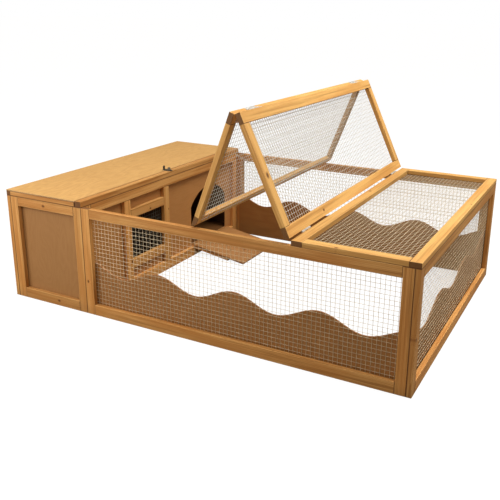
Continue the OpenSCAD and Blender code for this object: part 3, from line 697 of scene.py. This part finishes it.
def modifier_mesh(name, tree, values, base=None):
    """Runs a Geometry Nodes tree on a base mesh and returns the result as a plain mesh."""
    holder = bpy.data.objects.new(name, base or bpy.data.meshes.new(name))
    bpy.context.scene.collection.objects.link(holder)
    modifier = holder.modifiers.new("make", "NODES")
    modifier.node_group = tree
    sockets = {item.name: item.identifier for item in tree.interface.items_tree
               if getattr(item, "in_out", "") == "INPUT"}
    for label, value in values.items():
        modifier[sockets[label]] = value
    graph = bpy.context.evaluated_depsgraph_get()
    mesh = bpy.data.meshes.new_from_object(holder.evaluated_get(graph), preserve_all_data_layers=True,
                                           depsgraph=graph)
    mesh.name = name
    bpy.data.objects.remove(holder)
    return mesh


def welded_mesh_tree():
    """Welded wire mesh over a width and a height from the origin: one layer of wires each way."""
    tree, source, give = new_group(
        "Welded mesh", "GeometryNodeTree",
        {"Width": (FLOAT, 1.0), "Height": (FLOAT, 0.3), "Pitch": (FLOAT, MESH_PITCH),
         "Wire Radius": (FLOAT, WIRE_RADIUS), "Wobble": (FLOAT, WIRE_WOBBLE),
         "Material": ("NodeSocketMaterial", None)},
        {"Geometry": "NodeSocketGeometry"},
    )
    given = source.outputs
    radius = given["Wire Radius"]
    profile = add(tree, "GeometryNodeCurvePrimitiveCircle", {"Resolution": WIRE_SIDES, "Radius": radius})
    layers = []
    for across, along, level in (("Width", "Height", -1.0), ("Height", "Width", 1.0)):
        lies_up = across == "Width"
        count = calc(tree, "ROUND", calc(tree, "DIVIDE", given[across], given["Pitch"]))
        pitch = calc(tree, "DIVIDE", given[across], count)
        depth = calc(tree, "MULTIPLY", radius, level)
        first = calc(tree, "MULTIPLY", pitch, 0.5)
        names = ("X", "Y") if lies_up else ("Y", "X")
        start = add(tree, "ShaderNodeCombineXYZ", {names[0]: first, "Z": depth}).outputs[0]
        offset = add(tree, "ShaderNodeCombineXYZ", {names[0]: pitch}).outputs[0]
        points = add(tree, "GeometryNodeMeshLine",
                     {"Count": count, "Start Location": start, "Offset": offset},
                     mode="OFFSET", count_mode="TOTAL")
        end = add(tree, "ShaderNodeCombineXYZ", {names[1]: given[along]}).outputs[0]
        wire = add(tree, "GeometryNodeCurvePrimitiveLine", {"End": end}, mode="POINTS")
        fine = add(tree, "GeometryNodeResampleCurve", {"Curve": wire.outputs[0], "Count": WIRE_POINTS})
        placed = add(tree, "GeometryNodeInstanceOnPoints", {
            "Points": points.outputs[0], "Instance": fine.outputs[0]})
        layers.append(add(tree, "GeometryNodeRealizeInstances", {"Geometry": placed.outputs[0]}).outputs[0])
    wires = add(tree, "GeometryNodeJoinGeometry")
    for layer in layers:
        tree.links.new(layer, wires.inputs[0])
    # Stretched cloth of wire is never quite straight
    noise_texture = add(tree, "ShaderNodeTexNoise", {
        "Vector": add(tree, "GeometryNodeInputPosition").outputs[0], "Scale": 9.0, "Detail": 1.0})
    centred = vector_calc(tree, "SUBTRACT", noise_texture.outputs["Color"], (0.5, 0.5, 0.5))
    flat = vector_calc(tree, "MULTIPLY", centred, (1.0, 1.0, 0.0))
    amount = vector_calc(tree, "SCALE", flat)
    tree.links.new(calc(tree, "MULTIPLY", given["Wobble"], 2.0), amount.node.inputs["Scale"])
    moved = add(tree, "GeometryNodeSetPosition", {"Geometry": wires.outputs[0], "Offset": amount})
    tubes = add(tree, "GeometryNodeCurveToMesh", {
        "Curve": moved.outputs[0], "Profile Curve": profile.outputs[0], "Fill Caps": True})
    smooth = add(tree, "GeometryNodeSetShadeSmooth", {"Geometry": tubes.outputs[0]})
    whole = add(tree, "GeometryNodeRealizeInstances", {"Geometry": smooth.outputs[0]})
    give("Geometry", add(tree, "GeometryNodeSetMaterial", {
        "Geometry": whole.outputs[0], "Material": given["Material"]}).outputs[0])
    return tree


def fixings_tree():
    """A small part set at each point of the base mesh, turned as the point's own turn says."""
    tree, source, give = new_group(
        "Fixings", "GeometryNodeTree",
        {"Points": ("NodeSocketGeometry", None), "Part": ("NodeSocketObject", None),
         "Material": ("NodeSocketMaterial", None)},
        {"Geometry": "NodeSocketGeometry"},
    )
    part = add(tree, "GeometryNodeObjectInfo", {"Object": source.outputs["Part"]})
    turn = add(tree, "GeometryNodeInputNamedAttribute", {"Name": "turn"}, data_type="FLOAT_VECTOR")
    rotation = add(tree, "FunctionNodeEulerToRotation", {"Euler": turn.outputs["Attribute"]})
    points = add(tree, "GeometryNodeMeshToPoints", {"Mesh": source.outputs["Points"]})
    placed = add(tree, "GeometryNodeInstanceOnPoints", {
        "Points": points.outputs[0], "Instance": part.outputs["Geometry"], "Rotation": rotation.outputs[0]})
    whole = add(tree, "GeometryNodeRealizeInstances", {"Geometry": placed.outputs[0]})
    give("Geometry", add(tree, "GeometryNodeSetMaterial", {
        "Geometry": whole.outputs[0], "Material": source.outputs["Material"]}).outputs[0])
    return tree


WELDED_MESH = welded_mesh_tree()
FIXINGS = fixings_tree()


def make_part(name, build):
    """A small part to be repeated, kept out of the scene."""
    shape = bmesh.new()
    build(shape)
    bmesh.ops.recalc_face_normals(shape, faces=shape.faces)
    mesh = bpy.data.meshes.new(name)
    shape.to_mesh(mesh)
    shape.free()
    return bpy.data.objects.new(name, mesh)


def screw_head(radius, rise, deep):
    """Round head with a cross recess: the rim at z = 0, the top at rise, the recess's floor at -deep."""
    def build(shape):
        sides, arm, slot = 20, 0.62 * radius, 0.17 * radius
        rim = [shape.verts.new((radius * math.cos(a), radius * math.sin(a), 0.0))
               for a in (2 * math.pi * i / sides for i in range(sides))]
        corners = [(slot, slot), (slot, arm), (-slot, arm), (-slot, slot), (-arm, slot), (-arm, -slot),
                   (-slot, -slot), (-slot, -arm), (slot, -arm), (slot, -slot), (arm, -slot), (arm, slot)]
        top = [shape.verts.new((x, y, rise)) for x, y in corners]
        low = [shape.verts.new((0.75 * x, 0.75 * y, -deep)) for x, y in corners]
        count = len(corners)
        ring = [shape.edges.new((rim[i], rim[(i + 1) % sides])) for i in range(sides)]
        cross = [shape.edges.new((top[i], top[(i + 1) % count])) for i in range(count)]
        bmesh.ops.triangle_fill(shape, edges=ring + cross, use_beauty=True, use_dissolve=False)
        for face in [f for f in shape.faces if all(v in set(top) for v in f.verts)]:
            shape.faces.remove(face)
        for i in range(count):
            shape.faces.new((top[i], top[(i + 1) % count], low[(i + 1) % count], low[i]))
        shape.faces.new(low)
    return build


def staple(shape):
    """Wire staple: a flat crown with two legs that enter the wood, along X, pressed on the plane z = 0."""
    half, wide, thick, leg = 5.0 * MM, 0.5 * MM, 0.45 * MM, 1.6 * MM
    outline = [(-half, -leg), (-half, thick * 0.6), (-half + thick, thick), (half - thick, thick),
               (half, thick * 0.6), (half, -leg), (half - thick, -leg), (half - thick, 0.0),
               (-half + thick, 0.0), (-half + thick, -leg)]
    near = [shape.verts.new((x, -wide, z)) for x, z in outline]
    far = [shape.verts.new((x, wide, z)) for x, z in outline]
    count = len(outline)
    for i in range(count):
        shape.faces.new((near[i], near[(i + 1) % count], far[(i + 1) % count], far[i]))
    shape.faces.new(near)
    shape.faces.new(far)


STAPLE = make_part("staple", staple)
SCREW = make_part("screw head", screw_head(SCREW_RADIUS, rise=0.35 * MM, deep=1.2 * MM))
LEAF_SCREW = make_part("leaf screw head", screw_head(LEAF_SCREW_RADIUS, rise=0.55 * MM, deep=-0.08 * MM))


def fixings(name, part, material, body, places):
    """Small parts at places, each a point and the rotation matrix that turns the part there."""
    base = bpy.data.meshes.new(name + " points")
    base.from_pydata([tuple(point) for point, _ in places], [], [])
    turn = base.attributes.new("turn", "FLOAT_VECTOR", "POINT")
    for i, (_, rotation) in enumerate(places):
        turn.data[i].vector = rotation.to_euler()[:]
    mesh = modifier_mesh(name, FIXINGS, {"Part": part, "Material": material}, base)
    return link_piece(name, mesh, material, body)


def facing(normal, along):
    """Rotation whose Z points along a normal and whose X lies near a direction."""
    up = normal.normalized()
    side = (along - up * along.dot(up)).normalized()
    return Matrix((side, up.cross(side), up)).transposed()


# ---------------------------------------------------------------- pieces

def make_timber():
    """Every pine member of the frames, the strip, the bearers and the ramp's battens."""
    dice = random.Random(TIMBER_SEED)
    for node in sorted(NODES):
        if node.endswith(TIMBER_ENDINGS):
            roof = node.startswith(("roof_", "fixed_roof"))
            wooden_piece(node, ROOF_PINE if roof else PINE, ARRIS, dice)


def make_boards():
    """Every plywood board."""
    dice = random.Random(BOARD_SEED)
    for node in sorted(NODES):
        if node == "lid_board":
            wooden_piece(node, LID_PLY, BOARD_ARRIS, dice)
        elif node in ("box_front_board", "box_back_board", "left_wall_board"):
            wooden_piece(node, BOX_PLY, BOARD_ARRIS, dice)
        elif node == "ramp_board":
            wooden_piece(node, RAMP_PLY, BOARD_ARRIS, dice)
        elif node.endswith("wave_board"):
            wooden_piece(node, WAVE_PLY, BOARD_ARRIS, dice)
        elif node.endswith(BOARD_ENDINGS):
            wooden_piece(node, PANEL_PLY, BOARD_ARRIS, dice)


def sheet_frame(node):
    """A mesh sheet's centre, directions and half sizes."""
    shape = clean_copy(node)
    result = own_frame(list(shape.verts))
    shape.free()
    return result


FRAME_OF_SHEET = {
    "run_front_mesh": "run_front_rails", "run_back_mesh": "run_back_rails", "run_end_mesh": "run_end_rails",
    "fixed_roof_mesh": "fixed_roof_cross_rails", "roof_a_mesh": "roof_a_cross_rails",
    "roof_b_mesh": "roof_b_cross_rails", "inner_wall_window_mesh": "inner_wall_rails",
}


def middle(node):
    """Middle of a node's vertices."""
    verts = NODES[node].data.vertices
    return sum((v.co for v in verts), Vector()) / len(verts)


def make_wire_mesh():
    """The welded mesh of each panel and its staples."""
    dice = random.Random(STAPLE_SEED)
    for node, wood in sorted(FRAME_OF_SHEET.items()):
        centre, (long_way, short_way, thin_way), (half_l, half_s, half_t) = sheet_frame(node)
        away = thin_way if (centre - middle(wood)).dot(thin_way) > 0 else -thin_way
        third = long_way.cross(short_way)
        # The window's wires take the darker copy with painted shade
        wire = SHADED_WIRE if "window" in node else ROOF_WIRE if node.startswith("roof_") else WIRE
        mesh = modifier_mesh(node + "_wires", WELDED_MESH, {
            "Width": 2 * half_l, "Height": 2 * half_s, "Pitch": MESH_PITCH, "Wire Radius": WIRE_RADIUS,
            "Wobble": WIRE_WOBBLE, "Material": wire})
        mesh.transform(Matrix.Translation(centre) @ Matrix((long_way, short_way, third)).transposed().to_4x4()
                       @ Matrix.Translation((-half_l, -half_s, 0.0)))
        piece = link_piece(node + "_wires", mesh, wire, BODY_OF[node])
        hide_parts(node)
        places = []
        for way, other, half_way, half_other in ((long_way, short_way, half_l, half_s),
                                                 (short_way, long_way, half_s, half_l)):
            count = max(2, round(2 * half_way / STAPLE_PITCH))
            for side in (-1, 1):
                for i in range(count):
                    run = (i + 0.5 + 0.3 * (dice.random() - 0.5)) / count * 2 - 1
                    point = (centre + way * run * half_way + other * side * (half_other - STAPLE_INSET)
                             + away * (half_t - STAPLE_SINK))
                    places.append((point, facing(away, other + way * 0.35 * (dice.random() - 0.5))))
        fixings(node + "_staples", STAPLE, ZINC, BODY_OF[node], places)


def make_hardware():
    """Hinges, pins, hasp and cabin hook."""
    for node in sorted(NODES):
        if "hinge" in node or node.startswith("cabin_hook"):
            steel_piece(node, ZINC)
        elif node.startswith("hasp"):
            steel_piece(node, DARK_STEEL)


def make_screws():
    """Heads of the assembly screws and panel bolts, flush with the wood, at the CAD screws' own ends."""
    for node, material, slot in (("assembly_screws", ZINC, "zinc_steel"),
                                 ("panel_bolts", DARK_STEEL, "dark_steel")):
        shape = clean_copy(node)
        places = []
        for group in islands(shape):
            rims = sorted({face for vert in group for face in vert.link_faces if len(face.verts) > 12},
                          key=lambda face: face.calc_area())
            head = max((f for f in rims if f.calc_area() > 0.9 * rims[-1].calc_area()),
                       key=lambda f: f.calc_center_median().dot(f.normal))
            places.append((head.calc_center_median() - head.normal * SCREW_SINK,
                           facing(head.normal, SLANT)))
        shape.free()
        piece = fixings(node + "_heads", SCREW, material, BODY_OF[node], places)
        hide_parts(node)


def make_leaf_screws():
    """Three small raised heads along the open side of every hinge leaf's plate."""
    for node in sorted(NODES):
        if not node.endswith("_leaves"):
            continue
        shape = clean_copy(node)
        places = []
        for group in islands(shape):
            faces = {face for vert in group for face in vert.link_faces}
            broadest = sorted(faces, key=lambda face: -face.calc_area())[:4]
            plate = next((face for face in broadest if not any(
                inside(face.calc_center_median() + face.normal * 0.5 * MM, member)
                for members in MEMBERS.values() for member in members)), None)
            if plate is None:
                continue
            edge = max(plate.edges, key=lambda e: e.calc_length())
            along = (edge.verts[1].co - edge.verts[0].co).normalized()
            across = plate.normal.cross(along)
            reach = [[v.co.dot(way) for v in plate.verts] for way in (along, across)]
            middle_across = (min(reach[1]) + max(reach[1])) / 2
            level = plate.verts[0].co.dot(plate.normal)
            for part in LEAF_SCREW_PLACES:
                far = min(reach[0]) + (max(reach[0]) - min(reach[0])) * part
                point = along * far + across * middle_across + plate.normal * level
                places.append((point, facing(plate.normal, along + across * (part - 0.3))))
        shape.free()
        fixings(node + "_screws", LEAF_SCREW, ZINC, BODY_OF[node], places)


# ---------------------------------------------------------------- stage, light and camera

def make_floor():
    """Plain pale floor."""
    bpy.ops.mesh.primitive_plane_add(size=80, location=(0, 0, cad_low.z - FLOOR_GAP))
    floor = bpy.context.object
    floor.name = "floor"
    material, tree, shader = new_material("pale floor")
    shader.inputs["Base Color"].default_value = (*FLOOR_COLOUR, 1.0)
    shader.inputs["Roughness"].default_value = 0.9
    shader.inputs["Specular IOR Level"].default_value = 0.0
    # Seen directly the floor is near white, while it throws only a little light up onto the walls
    faint = add(tree, "ShaderNodeBsdfDiffuse", {"Color": (*FLOOR_SEEN, 1.0)})
    glow = add(tree, "ShaderNodeEmission", {"Color": (*WHITE, 1.0), "Strength": FLOOR_GLOW})
    both = add(tree, "ShaderNodeAddShader", {0: faint.outputs[0], 1: glow.outputs[0]})
    camera_ray = add(tree, "ShaderNodeLightPath").outputs["Is Camera Ray"]
    seen = add(tree, "ShaderNodeMixShader", {0: camera_ray, 1: shader.outputs[0], 2: both.outputs[0]})
    tree.links.new(seen.outputs[0], tree.nodes["Material Output"].inputs["Surface"])
    floor.data.materials.append(material)


def make_light():
    """Soft studio light: an even pale surround, a soft sun overhead and four soft boxes."""
    world = bpy.data.worlds.new("studio")
    world.use_nodes = True
    tree = world.node_tree
    air = tree.nodes["Background"]
    camera_ray = add(tree, "ShaderNodeLightPath").outputs["Is Camera Ray"]
    tree.links.new(mix_colour(tree, camera_ray, WARM_AIR, WHITE), air.inputs["Color"])
    tree.links.new(calc(tree, "MULTIPLY_ADD", camera_ray, 1.0 - AIR, AIR), air.inputs["Strength"])
    bpy.context.scene.world = world
    # Each light's name, kind, place, target, size and power
    lights = (
        ("overhead", "SUN", (0.15, 0.25, 3.0), (0.0, 0.0, 0.0), 1.1, 1.35),
        ("left front", "AREA", (-1.25, -1.5, 0.75), (-0.6, -0.45, 0.15), 0.8, 13.5),
        ("front", "AREA", (-0.2, -1.30, 1.15), (-0.2, -0.45, 0.3), 0.7, 5.8),
        ("right high", "AREA", (1.15, 0.3, 3.0), (0.2, 0.1, 0.3), 1.6, 68.0),
        ("right", "AREA", (1.25, 0.2, 1.3), (0.68, 0.1, 0.3), 0.7, 7.0),
    )
    for name, kind, place, target, size, power in lights:
        light = bpy.data.lights.new(name, kind)
        light.energy = power
        if kind == "SUN":
            light.angle = size
        else:
            light.shape = "SQUARE"
            light.size = size
        lamp = bpy.data.objects.new(name, light)
        lamp.visible_camera = False
        lamp.location = place
        lamp.rotation_euler = (Vector(target) - Vector(place)).to_track_quat("-Z", "Y").to_euler()
        bpy.context.scene.collection.objects.link(lamp)


def make_camera():
    """Camera at the right front, a little above the roof, with a normal lens and a small shift."""
    camera = bpy.data.objects.new("camera", bpy.data.cameras.new("camera"))
    # Placed from the front left ground corner of the walls. The box's own corner is at the lid's hinges
    corner = Vector((cad_high.x - WALLS_LENGTH, cad_low.y, cad_low.z))
    from_corner = Vector((1.7250, -1.5140, 0.9330))
    camera.location = corner + from_corner
    turn, dip, roll = math.radians(27.55), math.radians(17.39), math.radians(0.57)
    camera.rotation_euler = (Euler((math.pi / 2 - dip, 0.0, turn)).to_matrix()
                             @ Matrix.Rotation(roll, 3, "Z")).to_euler()
    camera.data.sensor_width = 36.0
    camera.data.lens = 49.86
    camera.data.shift_x = -0.0307
    camera.data.shift_y = -0.0562
    camera.data.clip_end = 200.0
    bpy.context.scene.collection.objects.link(camera)
    bpy.context.scene.camera = camera


make_camera()
make_light()
make_floor()
make_timber()
make_boards()
make_wire_mesh()
make_hardware()
make_screws()
make_leaf_screws()
bpy.context.scene.view_settings.view_transform = "Standard"
